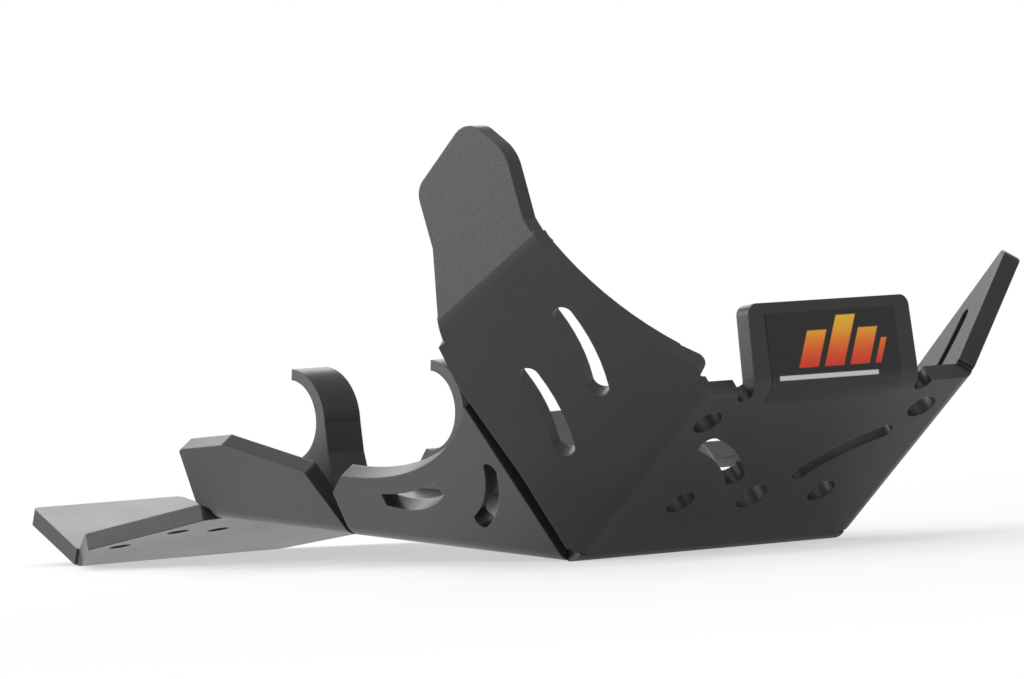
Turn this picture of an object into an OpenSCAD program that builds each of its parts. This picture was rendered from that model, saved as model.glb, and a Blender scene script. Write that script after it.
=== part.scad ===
/* [Sheet] */
// Thickness of the sheet that the guard is cut and folded from
sheet_t = 8; // [6:0.5:10]
// Outside radius of the sharp bends
bend_r = 10; // [9:0.5:12]
// Outside radius of the soft bend under the upright flap
soft_bend_r = 14; // [11:1:18]
// Radius on the underside of the shallow downward bend at the tail
tail_bend_r = 3; // [1:1:6]
// Radius of the small corners of the outline
corner_r = 4; // [2:0.5:5]

/* [Bottom panel] */
// Width of the bottom panel over the fold lines
base_w = 160; // [152:1:172]
// Length of the bottom panel from the front fold to the tail fold
base_l = 251; // [246:1:260]

/* [Front panel] */
// Length of the front panel up to the fold of the tab
front_l = 115; // [113:1:120]
// Angle of the front panel against the bottom panel
front_ang = 43; // [38:0.1:47]
// Angle of the front tab against the front panel
tab_ang = 57.4; // [50:0.1:64]
// Width of the front tab
tab_w = 96; // [86:1:100]
// Height of the front tab
tab_h = 38; // [32:1:46]
// Diameter of the four outer round holes
front_hole_d = 14; // [10:0.5:16]
// Diameter of the middle round hole
mid_hole_d = 16; // [10:0.5:18]
// Spacing of the lower row of three round holes
low_pitch = 41.5; // [36:0.5:46]
// Height of the lower row above the front fold
low_row = 38; // [30:1:42]
// Half spacing of the two upper round holes
high_half = 63; // [58:1:66]
// Height of the two upper round holes above the front fold
high_row = 95; // [90:1:98]
// Width of the two slots that stand in a V
vee_w = 9.5; // [6:0.5:11]

/* [Front wings] */
// Angle of the front wings against the front panel
fwing_ang = 49.4; // [45:0.1:54]
// Angle of the upright flap against the right front wing
flap_ang = 36; // [28:0.1:44]
// Radius of the hollow front edge of the right front wing
hollow_r = 150; // [140:1:170]
// Width of the slots in the wings
slot_w = 9.5; // [6:0.5:11]

/* [Side wings] */
// Angle of the side wings against the bottom panel
wing_ang = 54.1; // [50:0.1:58]
// Gap between the two side wings at the fold
wing_gap = 3; // [2:0.5:5]
// Radius of the big round cut-out in the middle wings
cutout_r = 155; // [150:1:160]

/* [Tail] */
// Angle of the tail panel below the bottom panel
tail_ang = 14.8; // [10:0.1:18]
// Length of the tail panel along its slope
tail_l = 134; // [128:1:140]
// Half width of the tail at its widest
flare_half = 97; // [92:1:102]
// Half width of the tail at the tip fold
tip_fold_half = 61; // [56:1:66]
// Angle of the tip against the tail panel
tip_ang = 29.2; // [24:0.1:34]
// Length of the tip
tip_l = 60.5; // [54:1:66]
// Half width of the tip at its end
tip_half = 45; // [40:1:50]
// Diameter of the round holes in the tail
tail_hole_d = 10.5; // [6:0.5:13]

/* [Frame hooks] */
// Radius of the hollow that holds the frame tube
cradle_r = 18.5; // [16:0.5:20]
// Thickness of the finger round the tube
finger_t = 6.5; // [5:0.5:8]
// Width of one hook
hook_w = 21; // [18:1:25]
// Distance from the middle plane to the outer face of the right hook
hook_side = 54; // [50:1:58]
// Distance from the middle plane to the outer face of the left hook
hook_side_left = 50; // [46:1:54]
// Distance of the tube behind the front fold
cradle_x = 228; // [222:1:232]
// Height of the tube over the underside of the bottom panel
cradle_z = 45.5; // [43:0.5:48]
// Diameter of the screws that hold the hooks
screw_d = 6; // [5:0.5:7]
// Gap all round a screw in its hole in the sheet
screw_gap = 0.2; // [0.15:0.05:0.3]

/* [Hidden] */
$fn = 40;
black = [0.16, 0.16, 0.17];
steel = [0.55, 0.56, 0.58];
half_w = base_w / 2;
cut = 1;
leg = 1;
// Rounded corners and slot ends are this much fuller, so that they cross the straight edges
round_gain = 0.03;
bend_gain = 0.003;
// Set-back of each panel from its fold line: it ends half a leg past the round part
set_front = bend_r * tan(front_ang / 2) + leg / 2;
set_tab = bend_r * tan(tab_ang / 2) + leg / 2;
set_fwing = bend_r * tan(fwing_ang / 2) + leg / 2;
set_wing = bend_r * tan(wing_ang / 2) + leg / 2;
set_tip = bend_r * tan(tip_ang / 2) + leg / 2;
set_flap = soft_bend_r * tan(flap_ang / 2) + leg / 2;
set_tail = tail_bend_r * tan(tail_ang / 2) + leg / 2;
// Side wings: the front one starts clear of the front wing
wing_lean = 0.09;
mid_start = 5.5;
mid_end = 151;
rear_start = mid_end + wing_gap;
cutout_at = [126.6, 191.5];
// Front wings: u runs up the fold, v away from it
fold_start = 5.6;
fold_end = front_l - 1;
fold_rise = 4;
flap_a = [65.3, 106.6];
flap_b = [135.5, 95.1];
flap_l = norm(flap_b - flap_a);
flap_turn = atan2(flap_a.y - flap_b.y, flap_b.x - flap_a.x);
wing_slot = [[88.6, 37.4], [109.5, 67.5]];
slot_pitch = [-37.5, -4];
// Hook and screw sizes
foot_front = cradle_x - 38;
foot_rear = cradle_x + 12;
hook_mid = hook_side - hook_w / 2;
hook_mid_left = hook_side_left - hook_w / 2;
hook_y = [-hook_mid, hook_mid_left];
finger_drop = 1.5;
heel_h = 14;
screw_at = [foot_front + 11, foot_rear - 11];
screw_l = 20;
screw_head_d = 2 * screw_d;
screw_head_h = (screw_head_d - screw_d) / 2;
// Resting attitude: both lower bends lie on the ground
rest_a = [-bend_r * tan(front_ang / 2), bend_r];
rest_run = tail_l - bend_r * tan(tip_ang / 2);
rest_b = [-base_l - rest_run * cos(tail_ang) - bend_r * sin(tail_ang),
    -rest_run * sin(tail_ang) + bend_r * cos(tail_ang)];
rest_ang = atan2(rest_a.y - rest_b.y, rest_a.x - rest_b.x);
rest_z = bend_r + rest_a.x * sin(rest_ang) - rest_a.y * cos(rest_ang);
plan_x = 171.37;
plan_y = 10.1;

// A polygon of [x, y, r] corners with true arcs of radius r
module outline(p) {
    n = len(p);
    xy = [for (c = p) [c.x, c.y]];
    d = [for (i = [0:n - 1]) (xy[(i + 1) % n] - xy[i]) / norm(xy[(i + 1) % n] - xy[i])];
    difference() {
        polygon(xy);
        for (i = [0:n - 1]) {
            if (p[i][2] > 0) {
                a = -d[(i + n - 1) % n];
                b = d[i];
                reach = p[i][2] / tan(acos(a * b) / 2);
                polygon([xy[i] - (a + b), xy[i] + a * reach, xy[i] + b * reach]);
            }
        }
    }
    for (i = [0:n - 1]) {
        if (p[i][2] > 0) {
            a = -d[(i + n - 1) % n];
            b = d[i];
            m = (a + b) / norm(a + b);
            translate(xy[i] + m * p[i][2] / sin(acos(a * b) / 2))
                circle(p[i][2] + round_gain);
        }
    }
}

// A round-ended slot of width w on an arc of radius r from p to q
module arc_slot(p, q, r, w, side = 1) {
    h = norm(q - p) / 2;
    dir = (q - p) / (2 * h);
    c = (p + q) / 2 + side * sqrt(r * r - h * h) * [-dir.y, dir.x];
    far = 1.2 * (r + w);
    translate(c) {
        intersection() {
            difference() {
                circle(r + w / 2, $fn = 120);
                circle(r - w / 2, $fn = 120);
            }
            polygon([[0, 0], far * (p - c) / r, far * (q - c) / r]);
        }
    }
    for (e = [p, q]) {
        translate(e)
            circle(w / 2 + round_gain);
    }
}

// Section of a bend: a short leg in each sheet and the round part between them
module bend_section(ang, r) {
    set = r * tan(ang / 2);
    dir = [cos(ang), sin(ang)];
    up = [-sin(ang), cos(ang)];
    centre = [-set, r];
    difference() {
        polygon([[-set - leg, 0], [0, 0], (set + leg) * dir,
            (set + leg) * dir + sheet_t * up, set * dir + sheet_t * up, centre,
            [-set, sheet_t], [-set - leg, sheet_t]]);
        translate(centre)
            circle(r - sheet_t + bend_gain);
        difference() {
            polygon([centre, [-set, -cut], [cut, -cut], set * dir - cut * up]);
            translate(centre)
                circle(r + bend_gain);
        }
    }
}

// A bend towards the inner face, along x
module bend_in(length, ang, r = bend_r) {
    rotate([90, 0, 90])
        linear_extrude(length)
            bend_section(ang, r);
}

// A bend away from the inner face, with radius r on the underside
module bend_out(length, ang, r) {
    translate([0, 0, sheet_t])
        mirror([0, 0, 1])
            rotate([90, 0, 90])
                linear_extrude(length)
                    translate([sheet_t * tan(ang / 2), 0])
                        bend_section(ang, r + sheet_t);
}

// Places a child panel on the front panel: x to the right side, y up the slope
module on_front() {
    rotate([0, 0, -90])
        rotate([front_ang, 0, 0])
            children();
}

// Places a child on the right side fold: x to the rear, y up the wing
module on_side_fold() {
    translate([0, -half_w, 0])
        rotate([0, 0, 180])
            children();
}

// Places a child on the fold of a front wing: x down the fold, y up the wing
module on_front_fold() {
    translate([half_w, 0, 0])
        rotate([0, 0, -90])
            children();
}

module both_sides() {
    children();
    mirror([0, 1, 0])
        children();
}

module base_panel() {
    inner = half_w - set_wing;
    linear_extrude(sheet_t)
        difference() {
            polygon([[-set_front, -inner], [-set_front, inner],
                [-base_l + set_tail, inner], [-base_l + set_tail, -inner]]);
            for (y = hook_y, x = screw_at) {
                translate([-x, y])
                    circle(screw_d / 2 + screw_gap);
            }
        }
}

// The middle wing with its round cut-out and two slots, and the rear wing
module side_wings() {
    on_side_fold() {
        translate([mid_start, 0, 0])
            bend_in(mid_end - mid_start, wing_ang);
        translate([rear_start, 0, 0])
            bend_in(base_l - rear_start, wing_ang);
        rotate([wing_ang, 0, 0])
            linear_extrude(sheet_t) {
                difference() {
                    outline([[mid_start, set_wing, 0], [mid_end, set_wing, 0],
                        [mid_end - 4, 25.5, corner_r], [132.6, 36.8, 0],
                        [132.6, 95, 0], [mid_start + wing_lean * 90, 95, 0]]);
                    translate(cutout_at)
                        circle(cutout_r, $fn = 200);
                    crescent();
                    arc_slot([20.5, 50], [48.5, 18.5], 70, 7.5, 1);
                }
                outline([[rear_start, set_wing, 0], [base_l, set_wing, 0],
                    [base_l + 8, 8.5, 2], [base_l - 3.5, 41.3, corner_r],
                    [212, 47, corner_r], [rear_start + 6, 35.6, 2]]);
            }
    }
}

// The crescent slot that follows the round cut-out
module crescent() {
    intersection() {
        difference() {
            translate([100, 78.5])
                circle(58.5, $fn = 100);
            translate([114.9, 136.7])
                circle(108.6, $fn = 160);
        }
        polygon([[63.5, 28], [67.5, 42], [108.5, 42], [112.5, 18], [63.5, 18]]);
    }
}

module front_panel() {
    inner = half_w - set_fwing;
    tab_half = tab_w / 2;
    relief_r = 4.5;
    on_front() {
        linear_extrude(sheet_t)
            difference() {
                polygon([[1 - inner, set_front], [inner - 1, set_front],
                    [inner, set_front + 1.5], [inner, fold_end],
                    [tab_half, fold_end], [tab_half, front_l - set_tab],
                    [-tab_half, front_l - set_tab], [-tab_half, fold_end],
                    [-inner, fold_end], [-inner, set_front + 1.5]]);
                for (s = [-1, 1]) {
                    translate([s * low_pitch, low_row])
                        circle(front_hole_d / 2);
                    translate([s * high_half, high_row])
                        circle(front_hole_d / 2);
                    mirror([s < 0 ? 1 : 0, 0])
                        arc_slot([19.5, 53], [51.5, 78.5], 80, vee_w, -1);
                    translate([s * (tab_half + relief_r - 0.5), fold_end - 1.5])
                        circle(relief_r);
                }
                translate([0, low_row])
                    circle(mid_hole_d / 2);
            }
        translate([-tab_half, front_l, 0]) {
            bend_in(tab_w, tab_ang);
            rotate([tab_ang, 0, 0])
                linear_extrude(sheet_t)
                    outline([[0, set_tab, 0], [tab_w, set_tab, 0],
                        [tab_w - 1, tab_h, 5], [1, tab_h, 5]]);
        }
    }
    rotate([0, 0, -90])
        translate([-half_w + 2, 0, 0])
            bend_in(base_w - 4, front_ang);
}

// Cuts away all beyond the fold of the flap, less its set-back
module flap_trim() {
    translate([-flap_b.x, flap_b.y])
        rotate(flap_turn)
            translate([-50, -set_flap])
                square([flap_l + 100, 80]);
}

// The tall front wing of the right side, with slots and the upright flap
module right_front_wing() {
    on_front()
        on_front_fold() {
            translate([-fold_end - fold_rise, 0, 0])
                bend_in(fold_end + fold_rise - fold_start, fwing_ang);
            rotate([fwing_ang, 0, 0]) {
                linear_extrude(sheet_t)
                    difference() {
                        outline([[-fold_end - fold_rise - 1, set_fwing, 0],
                            [-128.3, 5.5, 5], [-125.7, 19, 0], [-136, 40, 0],
                            [-150, 105, 0], [-62, 108, 0], [-47, 87, 0], [-41.5, 76, 0], [-24.8, 41, 0],
                            [1.2 - fold_start, set_fwing, 0]]);
                        flap_trim();
                        translate([-125 - hollow_r, 38.2])
                            circle(hollow_r, $fn = 180);
                        for (i = [0, 1]) {
                            mirror([1, 0])
                                translate(i * slot_pitch)
                                    arc_slot(wing_slot[0], wing_slot[1], 85, slot_w, 1);
                        }
                    }
                translate([-flap_b.x, flap_b.y, 0])
                    rotate([0, 0, flap_turn])
                        flap();
            }
        }
}

// The upright flap above the right front wing: x rearwards from its front end
module flap() {
    difference() {
        bend_in(flap_l + 2, flap_ang, soft_bend_r);
        translate([0, 0, -cut])
            linear_extrude(2 * soft_bend_r)
                polygon([[flap_l + 3, -set_flap - leg], [flap_l - 3.6, set_flap + leg],
                    [flap_l + 5, set_flap + leg], [flap_l + 5, -set_flap - leg]]);
    }
    rotate([flap_ang, 0, 0])
        linear_extrude(sheet_t)
            translate([flap_l, 0])
                mirror([1, 0])
                    outline([[3, set_flap, 0], [flap_l - 1, set_flap, 0], [69.5, 13, 0],
                        [77.5, 42, 20], [67, 66, 12], [24.8, 57, 9],
                        [18, 31, 0]]);
}

// The low front wing of the left side
module left_front_wing() {
    mirror([0, 1, 0])
        on_front()
            on_front_fold() {
                translate([-fold_end, 0, 0])
                    bend_in(fold_end - fold_start, fwing_ang);
                rotate([fwing_ang, 0, 0])
                    linear_extrude(sheet_t)
                        difference() {
                            outline([[-fold_end - 2, set_fwing, 0], [-145, 51.5, 3],
                                [-141.5, 57.5, 3], [-69.5, 47.5, 5], [-27, 36, 5],
                                [1.2 - fold_start, set_fwing, 0]]);
                            mirror([1, 0])
                                arc_slot([88, 18], [112, 39], 85, slot_w - 1.5, 1);
                        }
            }
}

// The tail panel and its upturned tip: x to the left side, y to the rear
module tail() {
    inner = half_w - set_wing;
    translate([-base_l, 0, 0])
        rotate([0, 0, 90]) {
            translate([-inner - leg, 0, 0])
                bend_out(2 * (inner + leg), tail_ang, tail_bend_r);
            rotate([-tail_ang, 0, 0]) {
                linear_extrude(sheet_t)
                    difference() {
                        tail_plan(inner);
                        for (s = [-1, 1], h = [[82, 72], [74, 37], [48, 40]]) {
                            translate([s * h.x, h.y])
                                circle(tail_hole_d / 2);
                        }
                    }
                translate([0, tail_l, 0]) {
                    translate([-tip_fold_half + leg, 0, 0])
                        bend_in(2 * (tip_fold_half - leg), tip_ang);
                    rotate([tip_ang, 0, 0])
                        linear_extrude(sheet_t)
                            outline([[-tip_fold_half, set_tip, 0],
                                [tip_fold_half, set_tip, 0],
                                [tip_half, tip_l, corner_r], [-tip_half, tip_l, corner_r]]);
                }
            }
        }
}

module tail_plan(inner) {
    neck = half_w + 3;
    half = [[inner, set_tail, 0], [neck, 5, 2], [flare_half, 77, 3],
        [tip_fold_half, tail_l - set_tip, 0]];
    other = [for (i = [3:-1:0]) [-half[i].x, half[i].y, half[i][2]]];
    outline(concat(half, other));
}

module plate_body() {
    color(black)
        difference() {
            union() {
                base_panel();
                both_sides()
                    side_wings();
                front_panel();
                right_front_wing();
                left_front_wing();
                tail();
            }
            for (y = hook_y, x = screw_at) {
                translate([-x, y, -cut])
                    cylinder(h = screw_head_h + cut + screw_gap,
                        r1 = screw_head_d / 2 + cut + screw_gap,
                        r2 = screw_d / 2);
            }
        }
}

// One hook seen from the right: a foot on the sheet and a finger round the tube
module hook_body(mid) {
    top_ang = 88;
    reach = cradle_r + finger_t;
    color(black)
        difference() {
            translate([0, -mid - hook_w / 2, 0])
                rotate([90, 0, 0])
                    mirror([0, 0, 1])
                        linear_extrude(hook_w)
                            difference() {
                                union() {
                                    intersection() {
                                        translate([-cradle_x, cradle_z - finger_drop])
                                            circle(reach);
                                        polygon([[-cradle_x, cradle_z],
                                            [-cradle_x + 60 * cos(top_ang),
                                            cradle_z + 60 * sin(top_ang)],
                                            [-cradle_x + 60, cradle_z + 60],
                                            [-cradle_x + 60, cradle_z]]);
                                    }
                                    polygon([[-foot_rear, sheet_t], [-foot_front, sheet_t],
                                        [-foot_front - 7, 22],
                                        [-cradle_x + reach + 2.5, 32],
                                        [-cradle_x + reach, cradle_z],
                                        [-cradle_x, cradle_z],
                                        [-cradle_x - 2, cradle_z - cradle_r + 1],
                                        [-foot_rear, heel_h]]);
                                }
                                translate([-cradle_x, cradle_z])
                                    circle(cradle_r);
                            }
            for (x = screw_at) {
                translate([-x, -mid, sheet_t - cut])
                    cylinder(h = screw_l - sheet_t + cut + 1, d = screw_d);
            }
        }
}

// A countersunk screw, flush with the underside
module screw_body(x, mid) {
    socket_d = screw_d * 0.66;
    color(steel)
        translate([-x, -mid, 0])
            difference() {
                union() {
                    cylinder(h = screw_l, d = screw_d);
                    cylinder(h = screw_head_h, r1 = screw_head_d / 2, r2 = screw_d / 2);
                }
                translate([0, 0, -cut])
                    cylinder(h = cut + 2, d = socket_d, $fn = 6);
            }
}

// Stands the object on the ground as it comes to rest, middle at the origin
module at_rest() {
    translate([plan_x, plan_y, rest_z])
        rotate([0, rest_ang, 0])
            children();
}

module left() {
    mirror([0, 1, 0])
        children();
}

module plate() {
    at_rest()
        plate_body();
}

module hook_right() {
    at_rest()
        hook_body(hook_mid);
}

module hook_left() {
    at_rest()
        left()
            hook_body(hook_mid_left);
}

module screw_right(i) {
    at_rest()
        screw_body(screw_at[i], hook_mid);
}

module screw_left(i) {
    at_rest()
        left()
            screw_body(screw_at[i], hook_mid_left);
}

plate();
hook_right();
hook_left();
screw_right(0);  // screw_right_front
screw_right(1);  // screw_right_rear
screw_left(0);  // screw_left_front
screw_left(1);  // screw_left_rear
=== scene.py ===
import math

import bmesh
import bpy
from bpy.props import FloatProperty, FloatVectorProperty, PointerProperty
from mathutils import Matrix, Vector


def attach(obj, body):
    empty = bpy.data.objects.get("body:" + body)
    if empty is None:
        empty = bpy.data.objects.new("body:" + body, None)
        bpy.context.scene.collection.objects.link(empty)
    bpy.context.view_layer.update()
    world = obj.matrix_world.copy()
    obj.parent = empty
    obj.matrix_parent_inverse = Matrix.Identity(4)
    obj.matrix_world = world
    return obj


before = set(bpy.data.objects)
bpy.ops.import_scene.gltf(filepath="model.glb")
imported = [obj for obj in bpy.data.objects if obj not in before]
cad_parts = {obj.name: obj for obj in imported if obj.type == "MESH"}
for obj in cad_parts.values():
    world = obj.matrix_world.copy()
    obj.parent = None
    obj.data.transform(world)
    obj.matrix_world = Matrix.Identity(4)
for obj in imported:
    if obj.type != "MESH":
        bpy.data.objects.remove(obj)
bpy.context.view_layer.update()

bl_info = {
    "name": "Skid Plate",
    "version": (1, 0, 0),
    "blender": (4, 5, 0),
    "location": "View3D > Sidebar > Skid Plate",
    "description": "Dresses a folded motorcycle skid plate and sets up its studio",
    "category": "Object",
}


class Wire:
    """An output of a shader node. Arithmetic on it adds Math nodes."""

    def __init__(self, tree, socket=None):
        self.tree = tree
        self.socket = socket

    def node(self, kind, settings=None, sockets=None, output=0):
        """Adds a node, sets it up, feeds its sockets and returns one of its outputs."""
        made = self.tree.nodes.new(kind)
        for name, value in (settings or {}).items():
            if name == "stops":
                self._stops(made.color_ramp, value)
            else:
                setattr(made, name, value)
        for name, value in (sockets or {}).items():
            if isinstance(value, Wire):
                self.tree.links.new(value.socket, made.inputs[name])
            else:
                made.inputs[name].default_value = value
        return Wire(self.tree, made.outputs[output] if made.outputs else None)

    @staticmethod
    def _stops(ramp, stops):
        while len(ramp.elements) < len(stops):
            ramp.elements.new(0.5)
        for element, (place, colour) in zip(ramp.elements, stops):
            element.position = place
            element.color = (*colour, 1.0)

    def _math(self, operation, a, b):
        return self.node("ShaderNodeMath", {"operation": operation}, {0: a, 1: b})

    def __add__(self, other):
        return self._math("ADD", self, other)

    __radd__ = __add__

    def __sub__(self, other):
        return self._math("SUBTRACT", self, other)

    def __rsub__(self, other):
        return self._math("SUBTRACT", other, self)

    def __mul__(self, other):
        return self._math("MULTIPLY", self, other)

    __rmul__ = __mul__

    def rise(self, low, high):
        """Goes smoothly from 0 at low to 1 at high."""
        return self.node(
            "ShaderNodeMapRange",
            {"interpolation_type": "SMOOTHSTEP"},
            {"Value": self, "From Min": low, "From Max": high},
        )

    def band(self, low, high, soft):
        """1 from low to high and 0 outside, with a soft border inside both ends."""
        return self.rise(low, low + soft) * (1 - self.rise(high - soft, high))

    def mixed(self, first, second):
        """The first colour where this is 0 and the second where it is 1."""
        colours = [c if isinstance(c, Wire) else (*c, 1.0) for c in (first, second)]
        return self.node(
            "ShaderNodeMix",
            {"data_type": "RGBA"},
            {0: self, 6: colours[0], 7: colours[1]},
            output=2,
        )


def new_material(name):
    """An empty node material, and a Wire that adds nodes to it."""
    made = bpy.data.materials.new(name)
    made.use_nodes = True
    made.node_tree.nodes.clear()
    return made, Wire(made.node_tree)


def surface(wires, shader):
    """Ends a material with its shader."""
    wires.node("ShaderNodeOutputMaterial", None, {"Surface": shader})


def object_point(wires, turn=(0, 0, 0), scale=(1, 1, 1), shift=(0, 0, 0)):
    """Object coordinates, moved, turned and stretched."""
    point = wires.node("ShaderNodeTexCoord", output="Object")
    return wires.node(
        "ShaderNodeMapping",
        {"vector_type": "POINT"},
        {"Vector": point, "Location": shift, "Rotation": turn, "Scale": scale},
    )


def grain(wires, size, detail=2.0, **place):
    """Noise whose spots are about as large as size, in metres."""
    return wires.node(
        "ShaderNodeTexNoise",
        None,
        {"Vector": object_point(wires, **place), "Scale": 1 / size, "Detail": detail},
        output="Fac",
    )


def black_sheet(name, look):
    """Satin black polyethylene with a fine grain, faint scuffs and a painted highlight on its
    cut edges.
    """
    made, wires = new_material(name)
    soft_edge = wires.node("ShaderNodeBevel", {"samples": 6}, {"Radius": look.edge_radius})
    true_face = wires.node("ShaderNodeNewGeometry", output="True Normal")
    along = wires.node(
        "ShaderNodeVectorMath",
        {"operation": "DOT_PRODUCT"},
        {0: soft_edge, 1: true_face},
        output="Value",
    )
    patches = grain(wires, 0.045)
    specks = grain(wires, 0.0035, detail=3.0)
    # Paler towards every cut edge: a painted highlight for the light the edges catch, broken
    # up by specks
    painted_edge_highlight = (1 - along).rise(0.02, 0.25) * (0.55 + 0.6 * specks)
    streaks = grain(wires, 0.0016, scale=(0.06, 1.0, 1.0), turn=(0.0, 0.35, 0.2))
    scuff = streaks.rise(0.66, 0.78) * patches.rise(0.52, 0.7)
    body = patches.mixed(look.dark, look.light)
    worn = (0.10 * scuff).mixed(body, look.scuff_and_edge_highlight)
    # The painted edge highlight is laid over the plastic and its scuffs
    colour = (0.6 * painted_edge_highlight).mixed(worn, look.scuff_and_edge_highlight)
    bump = wires.node(
        "ShaderNodeBump",
        None,
        {
            "Strength": 0.25,
            "Distance": 0.0002,
            "Height": grain(wires, 0.0009),
            "Normal": soft_edge,
        },
    )
    shader = wires.node(
        "ShaderNodeBsdfPrincipled",
        None,
        {
            "Base Color": colour,
            "Roughness": look.roughness + 0.12 * patches + 0.1 * scuff - 0.06,
            "IOR": 1.5,
            "Normal": bump,
        },
    )
    surface(wires, shader)
    return made


def zinc(name, look):
    """Zinc plated steel with a faint brushed grain."""
    made, wires = new_material(name)
    blotch = grain(wires, 0.002)
    shader = wires.node(
        "ShaderNodeBsdfPrincipled",
        None,
        {
            "Base Color": blotch.mixed(look.zinc_dark, look.zinc_light),
            "Roughness": 0.26 + 0.16 * blotch,
            "Metallic": 1.0,
        },
    )
    surface(wires, shader)
    return made


# Bars of the decal, in metres: left and right edge along the tab, foot and top above its fold
BARS = (
    (-0.026, -0.014, 0.0085, 0.0250),
    (-0.011, 0.001, 0.0085, 0.0310),
    (0.004, 0.016, 0.0085, 0.0250),
    (0.019, 0.023, 0.0085, 0.0200),
)
BAR_LEAN = 0.45
BAR_BORDER = 0.0006
HEAT_RANGE = (0.008, 0.031)


def decal_film(name, look, panel):
    """Glossy film: a black field with slanted bars that go from yellow to red."""
    made, wires = new_material(name)
    to_panel = panel.inverted()
    place = object_point(
        wires, turn=tuple(to_panel.to_euler()), shift=tuple(to_panel.translation)
    )
    across, height = (
        wires.node("ShaderNodeSeparateXYZ", None, {0: place}, output=axis) for axis in "XY"
    )
    lean = across - BAR_LEAN * height
    bars = sum(
        lean.band(left, right, BAR_BORDER) * height.band(low, high, BAR_BORDER)
        for left, right, low, high in BARS
    )
    heat = wires.node(
        "ShaderNodeValToRGB",
        {"stops": ((0.0, look.red), (0.45, look.orange), (1.0, look.yellow))},
        {"Fac": height.rise(*HEAT_RANGE)},
    )
    rule = across.band(-0.034, 0.025, 0.001) * height.band(0.0035, 0.0060, 0.0005)
    colour = rule.mixed(bars.mixed(look.field, heat), look.rule)
    shader = wires.node(
        "ShaderNodeBsdfPrincipled",
        None,
        {"Base Color": colour, "Roughness": 0.24 + 0.08 * grain(wires, 0.01), "IOR": 1.5},
    )
    surface(wires, shader)
    return made


def shown_rays(wires):
    """The rays that see the backdrop: the camera's, and those of gloss and glass."""
    return [
        wires.node("ShaderNodeLightPath", output=kind)
        for kind in ("Is Camera Ray", "Is Glossy Ray", "Is Transmission Ray")
    ]


class SheetLook(bpy.types.PropertyGroup):
    """Colours and gloss of the black plastic and of the screws."""

    dark: FloatVectorProperty(
        name="Dark", description="Darkest tone of the plastic",
        subtype="COLOR", size=3, default=(0.016, 0.016, 0.017), min=0, max=1)
    light: FloatVectorProperty(
        name="Light", description="Lightest tone of the plastic",
        subtype="COLOR", size=3, default=(0.027, 0.027, 0.029), min=0, max=1)
    # Tone of the scuffs, and of the painted highlight along the cut edges
    scuff_and_edge_highlight: FloatVectorProperty(
        name="Scuff and Edge Highlight", description="Tone of the rubbed edges",
        subtype="COLOR", size=3, default=(0.16, 0.16, 0.165), min=0, max=1)
    roughness: FloatProperty(
        name="Roughness", description="Roughness of the plastic",
        subtype="FACTOR", default=0.36, min=0.05, max=1)
    edge_radius: FloatProperty(
        name="Edge", description="Radius of the cut edges",
        unit="LENGTH", default=0.0008, min=0.0001, max=0.003)
    zinc_dark: FloatVectorProperty(
        name="Zinc Dark", description="Darker tone of the screws",
        subtype="COLOR", size=3, default=(0.42, 0.42, 0.44), min=0, max=1)
    zinc_light: FloatVectorProperty(
        name="Zinc Light", description="Lighter tone of the screws",
        subtype="COLOR", size=3, default=(0.62, 0.62, 0.64), min=0, max=1)


class DecalLook(bpy.types.PropertyGroup):
    """Size and colours of the decal on the front tab."""

    width: FloatProperty(
        name="Width", description="Width of the decal on the tab",
        unit="LENGTH", default=0.076, min=0.03, max=0.09)
    height: FloatProperty(
        name="Height", description="Height of the decal above the fold",
        unit="LENGTH", default=0.033, min=0.015, max=0.036)
    overlap: FloatProperty(
        name="Overlap", description="Length of the decal below the fold",
        unit="LENGTH", default=0.004, min=0.0, max=0.01)
    thickness: FloatProperty(
        name="Thickness", description="Thickness of the film",
        unit="LENGTH", default=0.0002, min=0.0001, max=0.0005)
    field: FloatVectorProperty(
        name="Field", description="Colour round the bars",
        subtype="COLOR", size=3, default=(0.006, 0.006, 0.007), min=0, max=1)
    red: FloatVectorProperty(
        name="Red", description="Colour at the foot of the bars",
        subtype="COLOR", size=3, default=(0.75, 0.035, 0.012), min=0, max=1)
    orange: FloatVectorProperty(
        name="Orange", description="Colour in the middle of the bars",
        subtype="COLOR", size=3, default=(0.9, 0.18, 0.01), min=0, max=1)
    yellow: FloatVectorProperty(
        name="Yellow", description="Colour at the top of the bars",
        subtype="COLOR", size=3, default=(0.92, 0.52, 0.02), min=0, max=1)
    rule: FloatVectorProperty(
        name="Rule", description="Colour of the thin rule below the bars",
        subtype="COLOR", size=3, default=(0.7, 0.7, 0.7), min=0, max=1)


class Studio(bpy.types.PropertyGroup):
    """Camera, lamps and backdrop."""

    camera_place: FloatVectorProperty(
        name="Camera", description="Place of the camera",
        subtype="TRANSLATION", unit="LENGTH", size=3, default=(2.7910, -2.3108, 0.1305))
    camera_turn: FloatVectorProperty(
        name="Camera Turn", description="Rotation of the camera",
        subtype="EULER", unit="ROTATION", size=3,
        default=tuple(math.radians(a) for a in (89.463, 3.3268, 49.764)))
    lens: FloatProperty(
        name="Lens", description="Focal length for a sensor 36 mm wide",
        unit="CAMERA", default=278.1, min=50, max=600)
    backdrop: FloatVectorProperty(
        name="Backdrop", description="Colour of the floor and the background",
        subtype="COLOR", size=3, default=(0.9, 0.9, 0.9), min=0, max=1)
    sky: FloatProperty(
        name="Sky", description="Strength of the light from all round",
        default=0.55, min=0, max=3)


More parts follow.
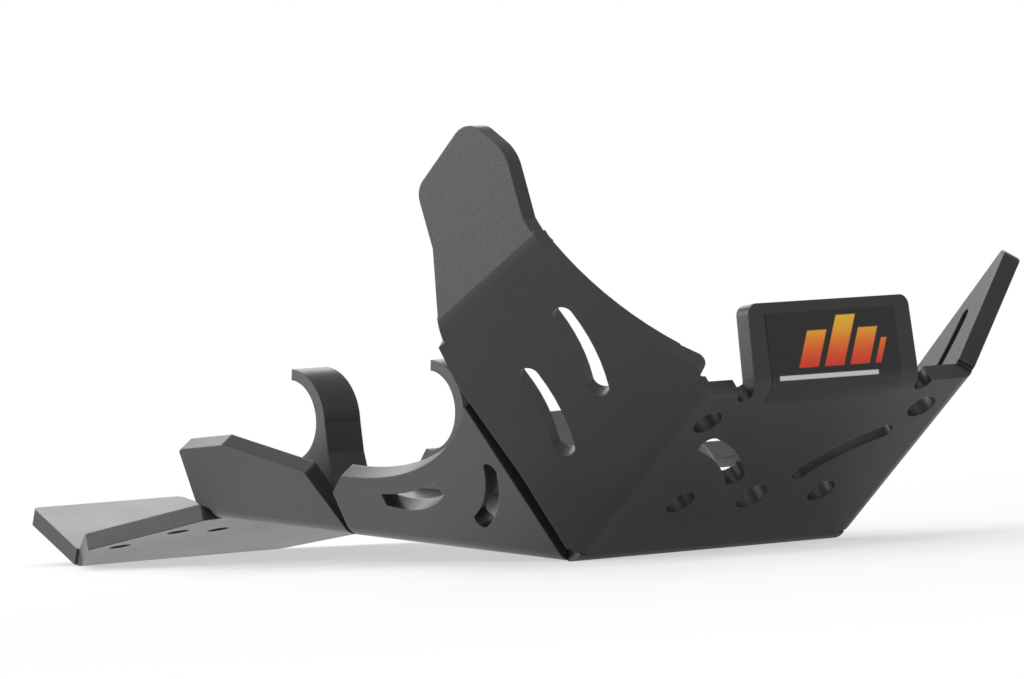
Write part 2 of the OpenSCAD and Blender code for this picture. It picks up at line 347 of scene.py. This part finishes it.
class SKID_OT_sheet(bpy.types.Operator):
    """Give the folded sheet and the hooks their satin black plastic"""

    bl_idname = "skid.sheet"
    bl_label = "Sheet and Hooks"

    def execute(self, context):
        look = context.scene.skid_sheet
        plastic = black_sheet("satin_black_sheet", look)
        machined = black_sheet("satin_black_hook", look)
        for node, material in (
            ("plate", plastic),
            ("hook_right", machined),
            ("hook_left", machined),
        ):
            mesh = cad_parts[node].data
            mesh.materials.clear()
            mesh.materials.append(material)
        return {"FINISHED"}


class SKID_OT_screws(bpy.types.Operator):
    """Give the countersunk screws their zinc plating"""

    bl_idname = "skid.screws"
    bl_label = "Screws"

    def execute(self, context):
        plating = zinc("zinc_plating", context.scene.skid_sheet)
        for name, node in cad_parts.items():
            if name.startswith("screw_"):
                node.data.materials.clear()
                node.data.materials.append(plating)
        return {"FINISHED"}


# The fold of the front tab in the sheet's own frame
FRONT_ANGLE = math.radians(43)
TAB_ANGLE = math.radians(57.4)
TAB_FOLD = 0.115
BEND_RADIUS = 0.010
# How the sheet lies on the ground
REST_PLACE = (0.17137, 0.0101, -0.00031)
REST_ANGLE = math.radians(5.1422)
# Rows of faces in the decal, above its bend and round it
FLAT_ROWS = 4
BEND_ROWS = 12


def tab_frame():
    """Outer face of the tab: x to the left side, y up the tab, z outwards, from its fold."""
    lie = Matrix.Translation(REST_PLACE) @ Matrix.Rotation(REST_ANGLE, 4, "Y")
    slope = Vector((math.cos(FRONT_ANGLE), 0, math.sin(FRONT_ANGLE)))
    pitch = FRONT_ANGLE + TAB_ANGLE
    up = Vector((math.cos(pitch), 0, math.sin(pitch)))
    across = Vector((0, 1, 0))
    out = across.cross(up)
    axes = Matrix((across, up, out)).transposed().to_4x4()
    return lie @ Matrix.Translation(slope * TAB_FOLD) @ axes


def grown(form, edges, offset):
    """Extrudes edges by an offset and returns the new ones."""
    made = bmesh.ops.extrude_edge_only(form, edges=edges)["geom"]
    moved = [v for v in made if isinstance(v, bmesh.types.BMVert)]
    bmesh.ops.translate(form, verts=moved, vec=offset)
    return [e for e in made if isinstance(e, bmesh.types.BMEdge)]


class SKID_OT_decal(bpy.types.Operator):
    """Lay a generic film decal on the front tab and over its fold"""

    bl_idname = "skid.decal"
    bl_label = "Decal"

    def execute(self, context):
        look = context.scene.skid_decal
        panel = tab_frame()
        setback = BEND_RADIUS * math.tan(TAB_ANGLE / 2)
        form = bmesh.new()
        ends = [form.verts.new((s * look.width / 2, look.height, 0)) for s in (-1, 1)]
        geom = [form.edges.new(ends)]
        for _ in range(FLAT_ROWS):
            geom = grown(form, geom, (0, -(look.height - setback) / FLAT_ROWS, 0))
        turned = bmesh.ops.spin(
            form,
            geom=geom + [v for e in geom for v in e.verts],
            cent=(0, setback, -BEND_RADIUS),
            axis=(1, 0, 0),
            angle=TAB_ANGLE,
            steps=BEND_ROWS,
            use_merge=False,
        )["geom_last"]
        geom = [e for e in turned if isinstance(e, bmesh.types.BMEdge)]
        down = Vector((0, -math.cos(TAB_ANGLE), -math.sin(TAB_ANGLE)))
        grown(form, geom, down * look.overlap)
        bmesh.ops.recalc_face_normals(form, faces=form.faces)
        form.normal_update()
        if sum(f.normal.z for f in form.faces) < 0:
            bmesh.ops.reverse_faces(form, faces=form.faces)
        bmesh.ops.translate(form, verts=form.verts, vec=(0, 0, look.thickness))
        bmesh.ops.solidify(form, geom=form.faces, thickness=look.thickness)
        bmesh.ops.recalc_face_normals(form, faces=form.faces)
        bmesh.ops.transform(form, matrix=panel, verts=form.verts)
        mesh = bpy.data.meshes.new("tab_decal")
        form.to_mesh(mesh)
        form.free()
        decal = bpy.data.objects.new("tab_decal", mesh)
        context.scene.collection.objects.link(decal)
        mesh.materials.append(decal_film("decal_film", look, panel))
        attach(decal, "root")
        return {"FINISHED"}


# Soft lamps: name, place, size in metres and power in watts
LAMPS = (
    ("right_softbox", (-1.7, -1.7, 0.9), 1.8, 40.0),
    ("rear_softbox", (-2.2, 1.2, 1.85), 1.8, 30.0),
    ("top_softbox", (0.2, -0.4, 2.6), 1.6, 14.0),
)
LAMP_AIM = Vector((0, 0, 0.09))


class SKID_OT_stage(bpy.types.Operator):
    """Set up the pale floor, the soft lamps and the camera"""

    bl_idname = "skid.stage"
    bl_label = "Stage"

    def execute(self, context):
        studio = context.scene.skid_studio
        self.floor(context, studio)
        self.sky(context, studio)
        for name, place, size, power in LAMPS:
            lamp = bpy.data.lights.new(name, "AREA")
            lamp.size = size
            lamp.energy = power
            held = bpy.data.objects.new(name, lamp)
            held.location = place
            aim = LAMP_AIM - Vector(place)
            held.rotation_euler = aim.to_track_quat("-Z", "Y").to_euler()
            context.scene.collection.objects.link(held)
        camera = bpy.data.cameras.new("camera")
        camera.sensor_width = 36
        camera.lens = studio.lens
        camera.clip_end = 100
        held = bpy.data.objects.new("camera", camera)
        held.location = studio.camera_place
        held.rotation_euler = studio.camera_turn
        context.scene.collection.objects.link(held)
        context.scene.camera = held
        context.scene.view_settings.view_transform = "Standard"
        return {"FINISHED"}

    @staticmethod
    def floor(context, studio):
        form = bmesh.new()
        bmesh.ops.create_grid(form, x_segments=1, y_segments=1, size=30)
        mesh = bpy.data.meshes.new("floor")
        form.to_mesh(mesh)
        form.free()
        ground = bpy.data.objects.new("floor", mesh)
        context.scene.collection.objects.link(ground)
        made, wires = new_material("floor")
        paper = wires.node(
            "ShaderNodeBsdfPrincipled",
            None,
            {"Base Color": (*studio.backdrop, 1.0), "Roughness": 0.8},
        )
        glow = wires.node("ShaderNodeEmission", None, {"Color": (1, 1, 1, 1), "Strength": 1.0})
        reach = wires.node(
            "ShaderNodeVectorMath",
            {"operation": "LENGTH"},
            {0: object_point(wires)},
            output="Value",
        )
        camera, glossy, through = shown_rays(wires)
        split = wires.node("ShaderNodeSeparateXYZ", None, {0: object_point(wires)})
        # Gloss sees the floor bright below the tail and dark from below the front onwards
        shade = 1.0 - 0.9 * split.rise(0.02, 0.24)
        # The camera sees it go to white away from the object, whose shadow it keeps near by
        pale = camera * (0.55 + 0.45 * reach.rise(0.3, 1.0)) + (glossy + through) * shade
        surface(wires, wires.node("ShaderNodeMixShader", None, {0: pale, 1: paper, 2: glow}))
        mesh.materials.append(made)

    @staticmethod
    def sky(context, studio):
        world = bpy.data.worlds.new("studio")
        world.use_nodes = True
        world.node_tree.nodes.clear()
        wires = Wire(world.node_tree)
        camera, glossy, through = shown_rays(wires)
        white = camera + through + 0.1 * glossy
        plain = wires.node(
            "ShaderNodeBackground", None, {"Color": (1, 1, 1, 1), "Strength": studio.sky}
        )
        shown = wires.node(
            "ShaderNodeBackground", None, {"Color": (1, 1, 1, 1), "Strength": 1.0}
        )
        mixed = wires.node("ShaderNodeMixShader", None, {0: white, 1: plain, 2: shown})
        wires.node("ShaderNodeOutputWorld", None, {"Surface": mixed})
        context.scene.world = world


class SKID_PT_panel(bpy.types.Panel):
    """Lists the steps that dress the skid plate"""

    bl_idname = "SKID_PT_panel"
    bl_label = "Skid Plate"
    bl_space_type = "VIEW_3D"
    bl_region_type = "UI"
    bl_category = "Skid Plate"

    def draw(self, context):
        column = self.layout.column()
        for step in STEPS:
            column.operator(step.bl_idname)


GROUPS = {
    "skid_sheet": SheetLook,
    "skid_decal": DecalLook,
    "skid_studio": Studio,
}
STEPS = (SKID_OT_sheet, SKID_OT_screws, SKID_OT_decal, SKID_OT_stage)


def register():
    for made in (*GROUPS.values(), *STEPS, SKID_PT_panel):
        bpy.utils.register_class(made)
    for name, group in GROUPS.items():
        setattr(bpy.types.Scene, name, PointerProperty(type=group))


def unregister():
    for name in GROUPS:
        delattr(bpy.types.Scene, name)
    for made in reversed((*GROUPS.values(), *STEPS, SKID_PT_panel)):
        bpy.utils.unregister_class(made)


def main():
    register()
    bpy.ops.skid.sheet()
    bpy.ops.skid.screws()
    bpy.ops.skid.decal()
    bpy.ops.skid.stage()


if __name__ == "__main__":
    main()
